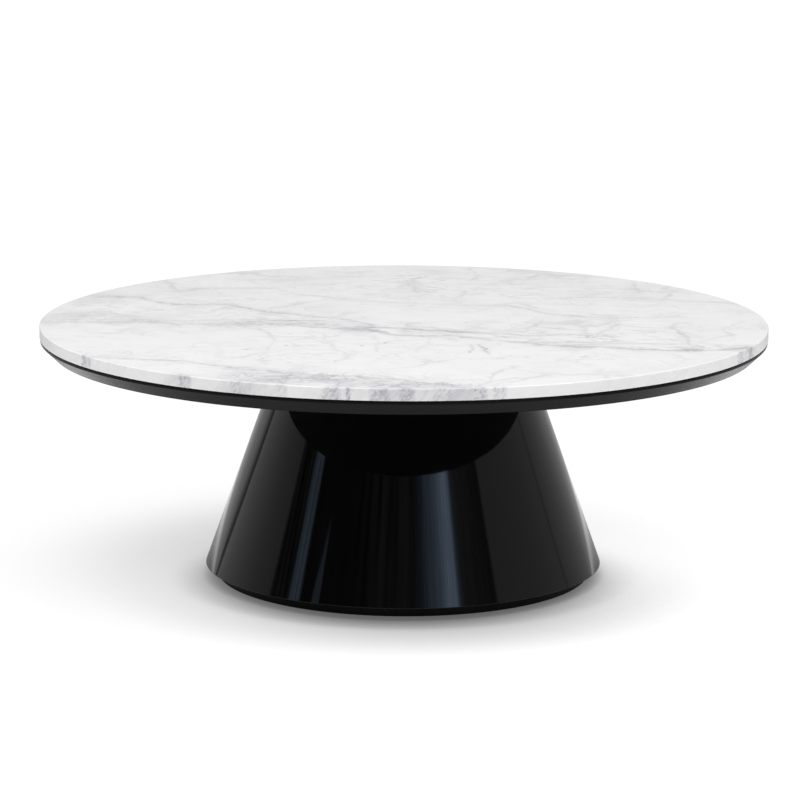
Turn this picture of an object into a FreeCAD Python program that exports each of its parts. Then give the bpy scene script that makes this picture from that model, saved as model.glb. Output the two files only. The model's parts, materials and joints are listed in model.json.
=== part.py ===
import FreeCAD, Part
import math
import os

# Round cocktail table: a loose stone disc on a bevelled wooden sub-top, carried by a hollow cone pedestal.
# Millimetres, +Z up, origin on the floor at the table's centre.

# Overall
top_diameter = 1219.2
total_height = 431.8

# Clearances shared by several pieces
glue_gap = 0.15  # between glued or slotted faces
seat_gap = 0.1  # round a driven-in nut, a dowel or a countersunk head
thread_gap = 0.05  # between a screw and the wall that it bites into
running_gap = 0.3  # between faces that move past each other
overrun = 5.0  # how far a cutting shape passes the face that it cuts

# Stone top
stone_thickness = 19.0
stone_upper_arris = 1.8
stone_lower_arris = 0.8

# Clear bumpers between the stone and the sub-top
bumper_thickness = 1.5
bumper_diameter = 20.0
bumper_edge_inset = 42.0  # from the sub-top's edge to the centres of the outer ring
bumper_inner_circle = 600.0
outer_bumper_count = 8
inner_bumper_count = 4

# Sub-top: a board core with a bevelled solid-wood edge round it
sub_top_thickness = 23.5
sub_top_setback = 1.0  # inside the stone's edge
edge_land = 4.0  # height of the upright band above the bevel
bevel_run = 20.5
edge_width = 60.0
edge_ease = 0.6
tongue_length = 10.0
tongue_thickness = 7.0
edge_segment_count = 8

# Pedestal shell: bent panels, glued edge to edge on the ribs
pedestal_foot_diameter = 670.6
pedestal_head_diameter = 406.4
shell_wall = 10.0  # measured level
shell_rim_arris = 0.6
shell_panel_count = 3

# Pedestal frame: two discs, two former rings and upright ribs
board_thickness = 18.0
ring_thickness = 15.0
ring_width = 60.0
ring_level_shares = (1 / 3, 2 / 3)  # of the clear height between the discs
rib_thickness = 15.0
rib_core_radius = 70.0  # the ribs stop short of the axis
ribs_per_panel = 2
tenon_shoulder = 25.0
tenon_depth = 9.0

# Plinth
plinth_thickness = 18.0
plinth_setback = 21.0  # inside the shell's lower rim
plinth_ease = 1.0
floor_gap = 1.0

# Countersunk wood screws
screw_diameter = 4.5
screw_head_diameter = 9.0
screw_recess_length = 5.0
screw_recess_width = 1.3
screw_recess_depth = 1.6
rib_screw_bite = 36.0
rib_screw_inset = 15.0  # from a tenon's end
plinth_screw_bite = 12.0
plinth_screw_circle = 350.0

# Bolts that hold the sub-top, their tee nuts, and the dowels that place it
bolt_diameter = 8.0
bolt_head_diameter = 16.0
bolt_hole_play = 0.5
bolt_socket_width = 5.0
bolt_socket_depth = 2.6
bolt_tip_setback = 1.5  # above the head disc's lower face
bolt_wall_inset = 38.0  # from the shell's inner face at the head
tee_nut_wall = 1.5
tee_nut_barrel_length = 13.0
tee_nut_flange_diameter = 20.0
tee_nut_flange_thickness = 1.4
dowel_diameter = 10.0
dowel_length = 24.0
dowel_ease = 1.0
dowel_bolt_spacing = 52.0  # inwards from the bolt in the same bay

# Levelling feet: a threaded stem with a spanner collar, turning in a nylon pad
foot_wall_inset = 50.0  # from the shell's inner face at the rim
foot_travel = 10.0
stem_diameter = 8.0
stem_tip_ease = 1.0
stem_spigot_diameter = 10.0
stem_socket_depth = 4.0
collar_width = 13.0
collar_height = 5.0
pad_diameter = 32.0
pad_thickness = 6.0
pad_lower_ease = 1.6
pad_upper_ease = 0.8
pad_pocket_play = 4.0
foot_nut_grip = 10.0  # thread left in the nut with the foot wound right out
foot_nut_flange_diameter = 22.0

# Levels, from the floor up
plinth_bottom = floor_gap
shell_bottom = plinth_bottom + plinth_thickness
foot_disc_top = shell_bottom + board_thickness
stone_bottom = total_height - stone_thickness
sub_top_top = stone_bottom - bumper_thickness
sub_top_bottom = sub_top_top - sub_top_thickness
shell_top = sub_top_bottom
head_disc_bottom = shell_top - board_thickness
clear_height = head_disc_bottom - foot_disc_top

# Radii and angles that follow from the sizes above
stone_radius = top_diameter / 2
sub_top_radius = stone_radius - sub_top_setback
core_radius = sub_top_radius - edge_width
shell_foot_radius = pedestal_foot_diameter / 2
shell_head_radius = pedestal_head_diameter / 2
plinth_radius = shell_foot_radius - plinth_setback
bolt_circle_radius = shell_head_radius - shell_wall - bolt_wall_inset
dowel_circle_radius = bolt_circle_radius - dowel_bolt_spacing
foot_circle_radius = shell_foot_radius - shell_wall - foot_wall_inset
bay_count = shell_panel_count * ribs_per_panel
bay_angle = 360 / bay_count

AXIS = FreeCAD.Vector(0, 0, 1)
CENTRE = FreeCAD.Vector(0, 0, 0)


def at(radius, angle, level):
    """The point at a radius, an angle in degrees and a level."""
    turn = math.radians(angle)
    return FreeCAD.Vector(radius * math.cos(turn), radius * math.sin(turn), level)


def rib_angle(index):
    return index * bay_angle


def bay_middle(index):
    return (index + 1 / 2) * bay_angle


def rounded_edges(corners):
    """Edges of a closed outline in the XZ plane. Each corner is (radius from the axis, level, rounding)."""
    points = [FreeCAD.Vector(radius, 0, level) for radius, level, rounding in corners]
    starts = []
    ends = []
    arcs = []
    for index, point in enumerate(points):
        rounding = corners[index][2]
        to_last = (points[index - 1] - point).normalize()
        to_next = (points[(index + 1) % len(points)] - point).normalize()
        if rounding == 0:
            starts.append(point)
            ends.append(point)
            continue
        half_turn = to_last.getAngle(to_next) / 2
        reach = rounding / math.tan(half_turn)
        inwards = (to_last + to_next).normalize()
        middle = point + inwards * (rounding / math.sin(half_turn) - rounding)
        starts.append(point + to_last * reach)
        ends.append(point + to_next * reach)
        arcs.append(Part.Arc(starts[index], middle, ends[index]).toShape())
    runs = [Part.LineSegment(ends[index - 1], starts[index]).toShape() for index in range(len(points))]
    return Part.__sortEdges__(runs + arcs)


def turned(corners, start=0, sweep=360):
    """A solid of revolution about the table's axis, or a wedge of one."""
    face = Part.Face(Part.Wire(rounded_edges(corners)))
    face.rotate(CENTRE, AXIS, start)
    return face.revolve(CENTRE, AXIS, sweep)


def disc(radius, bottom, top):
    return Part.makeCylinder(radius, top - bottom, FreeCAD.Vector(0, 0, bottom))


def round_bar(diameter, radius, angle, bottom, top):
    """An upright cylinder that stands at a place given by radius and angle."""
    return Part.makeCylinder(diameter / 2, top - bottom, at(radius, angle, bottom))


def hex_bar(width, radius, angle, bottom, top):
    """An upright hexagonal prism, with its width given across the flats."""
    corner_radius = width / math.sqrt(3)
    centre = at(radius, angle, bottom)
    corners = [centre + at(corner_radius, corner * 60, 0) for corner in range(7)]
    return Part.Face(Part.makePolygon(corners)).extrude(FreeCAD.Vector(0, 0, top - bottom))


def radial_block(inner, outer, thickness, angle, bottom, top):
    """A block that lies along a radius, centred on it."""
    corner = FreeCAD.Vector(inner, -thickness / 2, bottom)
    block = Part.makeBox(outer - inner, thickness, top - bottom, corner)
    block.rotate(CENTRE, AXIS, angle)
    return block


def wall_radius(level):
    """Radius of the shell's inner face at a level."""
    share = (level - shell_bottom) / (shell_top - shell_bottom)
    return shell_foot_radius + (shell_head_radius - shell_foot_radius) * share - shell_wall


def inside_shell(bottom, top):
    """The cone that fits inside the shell between two levels, less the glue line."""
    lower = wall_radius(bottom) - glue_gap
    upper = wall_radius(top) - glue_gap
    return Part.makeCone(lower, upper, top - bottom, FreeCAD.Vector(0, 0, bottom))


def countersunk(diameter, head_diameter, length, play, radius, angle, face, direction):
    """A countersunk screw, or with play the hole for it, whose head is flush with a face.

    direction is 1 where the screw runs up from the face and -1 where it runs down.
    """
    shank_radius = diameter / 2 + play
    sink_radius = head_diameter / 2 + play
    cone_height = (head_diameter - diameter) / 2
    outwards = FreeCAD.Vector(0, 0, direction)
    place = at(radius, angle, face)
    head = Part.makeCone(sink_radius, shank_radius, cone_height, place, outwards)
    shank = Part.makeCylinder(shank_radius, length, place, outwards)
    return head.fuse(shank).removeSplitter()


def cross_recess(radius, angle, face, direction):
    """The cross-shaped driver recess of a wood screw's head."""
    low = min(face, face + direction * screw_recess_depth)
    half_length = screw_recess_length / 2
    half_width = screw_recess_width / 2
    along = Part.makeBox(
        screw_recess_length, screw_recess_width, screw_recess_depth,
        FreeCAD.Vector(-half_length, -half_width, low),
    )
    across = Part.makeBox(
        screw_recess_width, screw_recess_length, screw_recess_depth,
        FreeCAD.Vector(-half_width, -half_length, low),
    )
    recess = along.fuse(across)
    recess.translate(at(radius, angle, 0))
    return recess


def wood_screw(length, radius, angle, face, direction):
    plain = countersunk(screw_diameter, screw_head_diameter, length, 0, radius, angle, face, direction)
    return plain.cut(cross_recess(radius, angle, face, direction))


def screw_hole(length, radius, angle, face, direction):
    end_play = length + seat_gap
    return countersunk(
        screw_diameter, screw_head_diameter, end_play, thread_gap, radius, angle, face, direction
    )


def tee_nut(bore, flange_diameter, barrel_length, radius, angle, seat):
    """A tee nut whose flange lies under a seat and whose barrel runs up from it."""
    flange = round_bar(flange_diameter, radius, angle, seat - tee_nut_flange_thickness, seat)
    barrel = round_bar(bore + 2 * tee_nut_wall, radius, angle, seat, seat + barrel_length)
    hole_bottom = seat - tee_nut_flange_thickness - overrun
    hole_top = seat + barrel_length + overrun
    return flange.fuse(barrel).cut(round_bar(bore + 2 * thread_gap, radius, angle, hole_bottom, hole_top))


# Places of the fixings

def tenon_span(level):
    """Inner and outer radius of a rib's tenon at a level."""
    return rib_core_radius + tenon_shoulder, wall_radius(level) - tenon_shoulder


def rib_screw_radii(level):
    inner, outer = tenon_span(level)
    return inner + rib_screw_inset, outer - rib_screw_inset


rib_screw_length = board_thickness - tenon_depth + rib_screw_bite
plinth_screw_length = plinth_thickness + plinth_screw_bite
bolt_length = sub_top_thickness + board_thickness - bolt_tip_setback
head_screw_places = [
    (radius, rib_angle(rib)) for rib in range(bay_count) for radius in rib_screw_radii(head_disc_bottom)
]
foot_screw_places = [
    (radius, rib_angle(rib)) for rib in range(bay_count) for radius in rib_screw_radii(foot_disc_top)
]
plinth_screw_places = [(plinth_screw_circle / 2, bay_middle(bay)) for bay in range(bay_count)]
bolt_places = [(bolt_circle_radius, bay_middle(bay)) for bay in range(bay_count)]
dowel_places = [(dowel_circle_radius, bay_middle(bay)) for bay in (0, bay_count // 2)]
foot_places = [(foot_circle_radius, bay_middle(bay)) for bay in range(bay_count)]

# Levels inside a levelling foot
collar_bottom = pad_thickness + running_gap
collar_top = collar_bottom + collar_height
foot_nut_seat = collar_top + running_gap + tee_nut_flange_thickness
foot_nut_length = foot_travel + foot_nut_grip
stem_top = foot_nut_seat + foot_nut_length

parts = {}


# Stone top and its bumpers

parts["marble_top"] = turned([
    (0, stone_bottom, 0),
    (stone_radius, stone_bottom, stone_lower_arris),
    (stone_radius, total_height, stone_upper_arris),
    (0, total_height, 0),
])


def bumper_ring(count, radius):
    places = [(radius, (index + 1 / 2) * 360 / count) for index in range(count)]
    return [round_bar(bumper_diameter, r, angle, sub_top_top, stone_bottom) for r, angle in places]


parts["marble_bumpers"] = Part.makeCompound(
    bumper_ring(outer_bumper_count, sub_top_radius - bumper_edge_inset)
    + bumper_ring(inner_bumper_count, bumper_inner_circle / 2)
)


# Sub-top

def bolt_hole(radius, angle):
    clearance = round_bar(
        bolt_diameter + 2 * bolt_hole_play, radius, angle, head_disc_bottom - overrun, sub_top_top + overrun
    )
    sink = countersunk(
        bolt_diameter, bolt_head_diameter, bolt_length, seat_gap, radius, angle, sub_top_top, -1
    )
    return clearance.fuse(sink)


def dowel_hole(radius, angle):
    reach = dowel_length / 2 + seat_gap
    return round_bar(
        dowel_diameter + 2 * seat_gap, radius, angle, sub_top_bottom - reach, sub_top_bottom + reach
    )


tongue_bottom = (sub_top_bottom + sub_top_top - tongue_thickness) / 2
tongue_top = tongue_bottom + tongue_thickness
tongue_tip = core_radius - tongue_length
groove = disc(core_radius + overrun, tongue_bottom - glue_gap, tongue_top + glue_gap).cut(
    disc(tongue_tip - glue_gap, tongue_bottom - overrun, tongue_top + overrun)
)
parts["sub_top_panel"] = disc(core_radius, sub_top_bottom, sub_top_top).cut(
    [groove]
    + [bolt_hole(*place) for place in bolt_places]
    + [dowel_hole(*place) for place in dowel_places]
)

edge_inner = core_radius + glue_gap
edge_outline = [
    (edge_inner, sub_top_bottom, 0),
    (sub_top_radius - bevel_run, sub_top_bottom, edge_ease),
    (sub_top_radius, sub_top_top - edge_land, edge_ease),
    (sub_top_radius, sub_top_top, edge_ease),
    (edge_inner, sub_top_top, 0),
    (edge_inner, tongue_top, 0),
    (tongue_tip, tongue_top, 0),
    (tongue_tip, tongue_bottom, 0),
    (edge_inner, tongue_bottom, 0),
]
segment_angle = 360 / edge_segment_count
for segment in range(edge_segment_count):
    parts[f"edge_segment_{segment + 1}"] = turned(edge_outline, segment * segment_angle, segment_angle)


# Bolts, tee nuts and dowels that join the sub-top to the pedestal

def sub_top_bolt(radius, angle):
    plain = countersunk(bolt_diameter, bolt_head_diameter, bolt_length, 0, radius, angle, sub_top_top, -1)
    return plain.cut(
        hex_bar(bolt_socket_width, radius, angle, sub_top_top - bolt_socket_depth, sub_top_top + overrun)
    )


def dowel(radius, angle):
    bottom = sub_top_bottom - dowel_length / 2
    bar = round_bar(dowel_diameter, radius, angle, bottom, bottom + dowel_length)
    rims = [edge for edge in bar.Edges if edge.isClosed() and edge.BoundBox.ZLength < dowel_ease]
    return bar.makeChamfer(dowel_ease, rims)


parts["sub_top_bolts"] = Part.makeCompound([sub_top_bolt(*place) for place in bolt_places])
parts["bolt_tee_nuts"] = Part.makeCompound([
    tee_nut(bolt_diameter, tee_nut_flange_diameter, tee_nut_barrel_length, *place, head_disc_bottom)
    for place in bolt_places
])
parts["locating_dowels"] = Part.makeCompound([dowel(*place) for place in dowel_places])


# Pedestal shell

shell_outline = [
    (shell_foot_radius - shell_wall, shell_bottom, 0),
    (shell_foot_radius, shell_bottom, shell_rim_arris),
    (shell_head_radius, shell_top, 0),
    (shell_head_radius - shell_wall, shell_top, 0),
]
panel_angle = 360 / shell_panel_count
for panel in range(shell_panel_count):
    parts[f"shell_panel_{panel + 1}"] = turned(shell_outline, panel * panel_angle, panel_angle)


# Pedestal frame

def mortise(angle, level, bottom, top):
    inner, outer = tenon_span(level)
    return radial_block(
        inner - glue_gap, outer + glue_gap, rib_thickness + 2 * glue_gap, angle, bottom, top
    )


tee_nut_hole = bolt_diameter + 2 * tee_nut_wall + 2 * seat_gap
parts["pedestal_head_disc"] = inside_shell(head_disc_bottom, shell_top).cut(
    [
        mortise(rib_angle(rib), head_disc_bottom, head_disc_bottom - overrun, head_disc_bottom + tenon_depth)
        for rib in range(bay_count)
    ]
    + [screw_hole(rib_screw_length, *place, shell_top, -1) for place in head_screw_places]
    + [
        round_bar(
            tee_nut_hole, *place, head_disc_bottom - overrun, head_disc_bottom + tee_nut_barrel_length
        )
        for place in bolt_places
    ]
    + [bolt_hole(*place) for place in bolt_places]
    + [dowel_hole(*place) for place in dowel_places]
)

foot_nut_hole = stem_diameter + 2 * tee_nut_wall + 2 * seat_gap


def foot_bore(radius, angle):
    """The hole for a levelling foot's nut and stem, from under the plinth to just past the stem's tip."""
    return round_bar(foot_nut_hole, radius, angle, plinth_bottom - overrun, stem_top + running_gap)


parts["pedestal_foot_disc"] = inside_shell(shell_bottom, foot_disc_top).cut(
    [
        mortise(rib_angle(rib), foot_disc_top, foot_disc_top - tenon_depth, foot_disc_top + overrun)
        for rib in range(bay_count)
    ]
    + [screw_hole(rib_screw_length, *place, shell_bottom, 1) for place in foot_screw_places]
    + [screw_hole(plinth_screw_length, *place, plinth_bottom, 1) for place in plinth_screw_places]
    + [foot_bore(*place) for place in foot_places]
)


def former_ring(middle):
    """A ring round the shell's inside, slotted from its inner edge to half its width at each rib."""
    bottom = middle - ring_thickness / 2
    top = middle + ring_thickness / 2
    inner = wall_radius(middle) - ring_width
    half_way = inner + ring_width / 2
    slots = [
        radial_block(
            inner - overrun, half_way + glue_gap, rib_thickness + 2 * glue_gap, rib_angle(rib),
            bottom - overrun, top + overrun,
        )
        for rib in range(bay_count)
    ]
    return inside_shell(bottom, top).cut([disc(inner, bottom - overrun, top + overrun)] + slots)


ring_levels = [foot_disc_top + share * clear_height for share in ring_level_shares]
for name, level in zip(("lower_former_ring", "upper_former_ring"), ring_levels):
    parts[name] = former_ring(level)


def upright_rib(angle):
    """An upright rib with a tenon at each end, notched from its outer edge to let the rings pass."""
    blank = radial_block(
        rib_core_radius, shell_foot_radius, rib_thickness, angle, foot_disc_top, head_disc_bottom
    ).common(inside_shell(foot_disc_top, head_disc_bottom))
    tenons = []
    for level, bottom, top in (
        (foot_disc_top, foot_disc_top - tenon_depth + glue_gap, foot_disc_top + overrun),
        (head_disc_bottom, head_disc_bottom - overrun, head_disc_bottom + tenon_depth - glue_gap),
    ):
        inner, outer = tenon_span(level)
        tenons.append(radial_block(inner, outer, rib_thickness, angle, bottom, top))
    notches = []
    for level in ring_levels:
        half_way = wall_radius(level) - ring_width / 2
        reach = ring_thickness / 2 + glue_gap
        notches.append(
            radial_block(
                half_way - glue_gap, shell_foot_radius, rib_thickness + overrun, angle,
                level - reach, level + reach,
            )
        )
    holes = [
        screw_hole(rib_screw_length, radius, angle, shell_bottom, 1)
        for radius in rib_screw_radii(foot_disc_top)
    ] + [
        screw_hole(rib_screw_length, radius, angle, shell_top, -1)
        for radius in rib_screw_radii(head_disc_bottom)
    ]
    return blank.fuse(tenons).removeSplitter().cut(notches + holes)


for index in range(bay_count):
    parts[f"pedestal_rib_{index + 1}"] = upright_rib(rib_angle(index))

parts["head_disc_screws"] = Part.makeCompound(
    [wood_screw(rib_screw_length, *place, shell_top, -1) for place in head_screw_places]
)
parts["foot_disc_screws"] = Part.makeCompound(
    [wood_screw(rib_screw_length, *place, shell_bottom, 1) for place in foot_screw_places]
)


# Plinth

def foot_pocket(radius, angle):
    """The pocket in the plinth's underside that a wound-in foot sits in."""
    return round_bar(
        pad_diameter + 2 * pad_pocket_play, radius, angle, plinth_bottom - overrun, foot_nut_seat
    )


plinth_blank = turned([
    (0, plinth_bottom, 0),
    (plinth_radius, plinth_bottom, plinth_ease),
    (plinth_radius, shell_bottom, 0),
    (0, shell_bottom, 0),
])
parts["plinth_disc"] = plinth_blank.cut(
    [foot_pocket(*place) for place in foot_places]
    + [foot_bore(*place) for place in foot_places]
    + [screw_hole(plinth_screw_length, *place, plinth_bottom, 1) for place in plinth_screw_places]
)
parts["plinth_screws"] = Part.makeCompound(
    [wood_screw(plinth_screw_length, *place, plinth_bottom, 1) for place in plinth_screw_places]
)


# Levelling feet

def eased(solid, size, level):
    """The solid with the round edges at one level chamfered."""
    rims = [
        edge for edge in solid.Edges
        if edge.isClosed() and abs(edge.BoundBox.ZMin - level) < size and edge.BoundBox.ZLength < size
    ]
    return solid.makeChamfer(size, rims)


def foot_pad(radius, angle):
    """A nylon pad with a round socket in its upper face."""
    pad = round_bar(pad_diameter, radius, angle, 0, pad_thickness)
    pad = eased(eased(pad, pad_lower_ease, 0), pad_upper_ease, pad_thickness)
    socket_floor = pad_thickness - stem_socket_depth
    return pad.cut(
        round_bar(
            stem_spigot_diameter + 2 * thread_gap, radius, angle, socket_floor, pad_thickness + overrun
        )
    )


def foot_stem(radius, angle):
    """A threaded stem: a spigot that turns in the pad, a spanner collar and the screw."""
    spigot_bottom = pad_thickness - stem_socket_depth + thread_gap
    spigot = round_bar(stem_spigot_diameter, radius, angle, spigot_bottom, collar_bottom)
    collar = hex_bar(collar_width, radius, angle, collar_bottom, collar_top)
    screw = eased(round_bar(stem_diameter, radius, angle, collar_top, stem_top), stem_tip_ease, stem_top)
    return spigot.fuse([collar, screw])


parts["foot_tee_nuts"] = Part.makeCompound([
    tee_nut(stem_diameter, foot_nut_flange_diameter, foot_nut_length, *place, foot_nut_seat)
    for place in foot_places
])
for index, place in enumerate(foot_places):
    parts[f"levelling_stem_{index + 1}"] = foot_stem(*place)
    parts[f"levelling_pad_{index + 1}"] = foot_pad(*place)


os.makedirs("parts", exist_ok=True)
for name, shape in parts.items():
    shape.exportStep(os.path.join("parts", name + ".step"))
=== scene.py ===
import json
import math

import bmesh
import bpy
from mathutils import Matrix, Vector


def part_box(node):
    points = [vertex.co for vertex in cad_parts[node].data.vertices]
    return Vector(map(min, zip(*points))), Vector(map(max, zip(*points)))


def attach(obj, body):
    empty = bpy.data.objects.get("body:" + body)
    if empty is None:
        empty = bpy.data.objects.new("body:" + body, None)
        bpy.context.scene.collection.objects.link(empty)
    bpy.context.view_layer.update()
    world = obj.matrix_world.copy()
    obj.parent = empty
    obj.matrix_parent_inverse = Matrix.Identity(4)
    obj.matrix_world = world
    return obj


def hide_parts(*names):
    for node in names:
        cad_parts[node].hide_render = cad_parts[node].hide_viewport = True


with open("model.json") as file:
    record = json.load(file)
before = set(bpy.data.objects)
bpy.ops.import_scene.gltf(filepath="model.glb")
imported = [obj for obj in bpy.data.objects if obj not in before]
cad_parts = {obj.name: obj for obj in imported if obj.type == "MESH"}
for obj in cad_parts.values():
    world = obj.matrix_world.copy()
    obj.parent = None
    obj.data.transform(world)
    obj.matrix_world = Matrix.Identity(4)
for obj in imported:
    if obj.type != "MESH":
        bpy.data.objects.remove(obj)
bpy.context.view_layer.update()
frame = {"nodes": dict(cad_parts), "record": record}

# Round cocktail table: a veined stone disc on a bevelled black sub-top and a gloss-black cone pedestal.
# Metres, +Z up, origin on the floor at the table's centre, the camera on the -Y side.

# Sizes read from the frame
stone_low, stone_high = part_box("marble_top")
stone_radius = stone_high.x
core_low, core_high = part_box("sub_top_panel")
sub_top_bottom = core_low.z
sub_top_top = core_high.z
shell_panels = [f"shell_panel_{index}" for index in (1, 2, 3)]
shell_boxes = [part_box(panel) for panel in shell_panels]
shell_bottom = min(low.z for low, high in shell_boxes)
shell_top = max(high.z for low, high in shell_boxes)
shell_foot_radius = max(high.x for low, high in shell_boxes)
edge_count = sum(name.startswith("edge_segment_") for name in frame["nodes"])

# Sizes of the turned profiles, and how far up the plywood inside the cone's rim is painted
stone_upper_arris = 0.0018
stone_lower_arris = 0.0008
stone_flat_inset = 0.004
edge_setback = 0.001
edge_width = 0.060
edge_land = 0.004
bevel_run = 0.0205
edge_ease = 0.0006
tongue_length = 0.010
tongue_thickness = 0.007
shell_head_radius = 0.2032
shell_wall = 0.010
shell_rim_arris = 0.0006
paint_reach = 0.0005
edge_radius = stone_radius - edge_setback

# How finely round shapes are cut, how far from an arc its guard points lie, and the angle up to which edges
# are shaded smooth
ROUND_STEPS = 768
ARC_STEPS = 6
ARC_GUARD = 0.0003
SMOOTH_LIMIT = math.radians(35)

# The levels between which most of a noise lies
NOISE_SPAN = (0.3, 0.7)


class Graph:
    """Adds nodes to a shader tree and joins them."""

    def __init__(self, tree):
        tree.nodes.clear()
        self.tree = tree

    def node(self, kind, inputs=None, **settings):
        made = self.tree.nodes.new(kind)
        for name, value in settings.items():
            setattr(made, name, value)
        for socket, value in (inputs or {}).items():
            self.put(made.inputs[socket], value)
        return made

    def put(self, socket, value):
        if isinstance(value, bpy.types.NodeSocket):
            self.tree.links.new(value, socket)
        else:
            socket.default_value = value

    def math(self, operation, *values):
        return self.node("ShaderNodeMath", dict(enumerate(values)), operation=operation).outputs[0]

    def add(self, first, second):
        return self.math("ADD", first, second)

    def minus(self, first, second):
        return self.math("SUBTRACT", first, second)

    def times(self, first, second):
        return self.math("MULTIPLY", first, second)

    def times_add(self, value, factor, extra):
        return self.math("MULTIPLY_ADD", value, factor, extra)

    def apart(self, first, second):
        """How far two values are apart."""
        return self.math("ABSOLUTE", self.minus(first, second))

    def distance(self, x, y):
        """The distance of (x, y) from the middle."""
        return self.math("SQRT", self.add(self.times(x, x), self.times(y, y)))

    def within(self, value, low, high):
        """1 between low and high, and 0 elsewhere."""
        return self.times(self.math("GREATER_THAN", value, low), self.math("LESS_THAN", value, high))

    def strongest(self, masks):
        """The greatest of the masks at each place."""
        result = masks[0]
        for mask in masks[1:]:
            result = self.math("MAXIMUM", result, mask)
        return result

    def vector(self, operation, *values):
        return self.node("ShaderNodeVectorMath", dict(enumerate(values)), operation=operation).outputs[0]

    def scaled(self, value, factor):
        made = self.node("ShaderNodeVectorMath", {0: value, "Scale": factor}, operation="SCALE")
        return made.outputs[0]

    def split(self, value):
        return self.node("ShaderNodeSeparateXYZ", {0: value}).outputs

    def joined(self, x, y, z):
        return self.node("ShaderNodeCombineXYZ", {0: x, 1: y, 2: z}).outputs[0]

    def ramp(self, value, low, high, first=0.0, last=1.0):
        """A smooth step from first, at low, to last, at high."""
        made = self.node(
            "ShaderNodeMapRange",
            {"Value": value, "From Min": low, "From Max": high, "To Min": first, "To Max": last},
            interpolation_type="SMOOTHSTEP",
        )
        return made.outputs[0]

    def varied(self, noise, first, last):
        """A value that follows a noise from first to last."""
        return self.ramp(noise, *NOISE_SPAN, first, last)

    def noise(self, place, scale, detail=3.0, roughness=0.5, output="Fac"):
        made = self.node(
            "ShaderNodeTexNoise",
            {"Vector": place, "Scale": scale, "Detail": detail, "Roughness": roughness},
        )
        return made.outputs[output]

    def stretched_noise(self, place, scales, detail=3.0, roughness=0.5):
        """Noise with a scale of its own along each axis."""
        return self.noise(self.vector("MULTIPLY", place, scales), 1.0, detail, roughness)

    def cracks(self, place, scale):
        """The distance to the nearest border between cells."""
        made = self.node(
            "ShaderNodeTexVoronoi", {"Vector": place, "Scale": scale}, feature="DISTANCE_TO_EDGE"
        )
        return made.outputs["Distance"]

    def curve(self, value, points):
        """A smooth curve through (place, level) points, both from 0 to 1."""
        made = self.node("ShaderNodeFloatCurve", {"Value": value})
        line = made.mapping.curves[0]
        while len(line.points) < len(points):
            line.points.new(0, 0)
        for point, place in zip(line.points, points):
            point.location = place
            point.handle_type = "AUTO_CLAMPED"
        made.mapping.update()
        return made.outputs[0]

    def mix(self, factor, first, second):
        made = self.node("ShaderNodeMix", {0: factor, 6: first, 7: second}, data_type="RGBA")
        return made.outputs[2]

    def bump(self, height, strength, distance):
        made = self.node("ShaderNodeBump", {"Strength": strength, "Distance": distance, "Height": height})
        return made.outputs[0]

    def surface(self, inputs):
        shader = self.node("ShaderNodeBsdfPrincipled", inputs)
        self.node("ShaderNodeOutputMaterial", {"Surface": shader.outputs[0]})


def new_material(name):
    material = bpy.data.materials.new(name)
    material.use_nodes = True
    graph = Graph(material.node_tree)
    place = graph.node("ShaderNodeTexCoord").outputs["Object"]
    return material, graph, place


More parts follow.
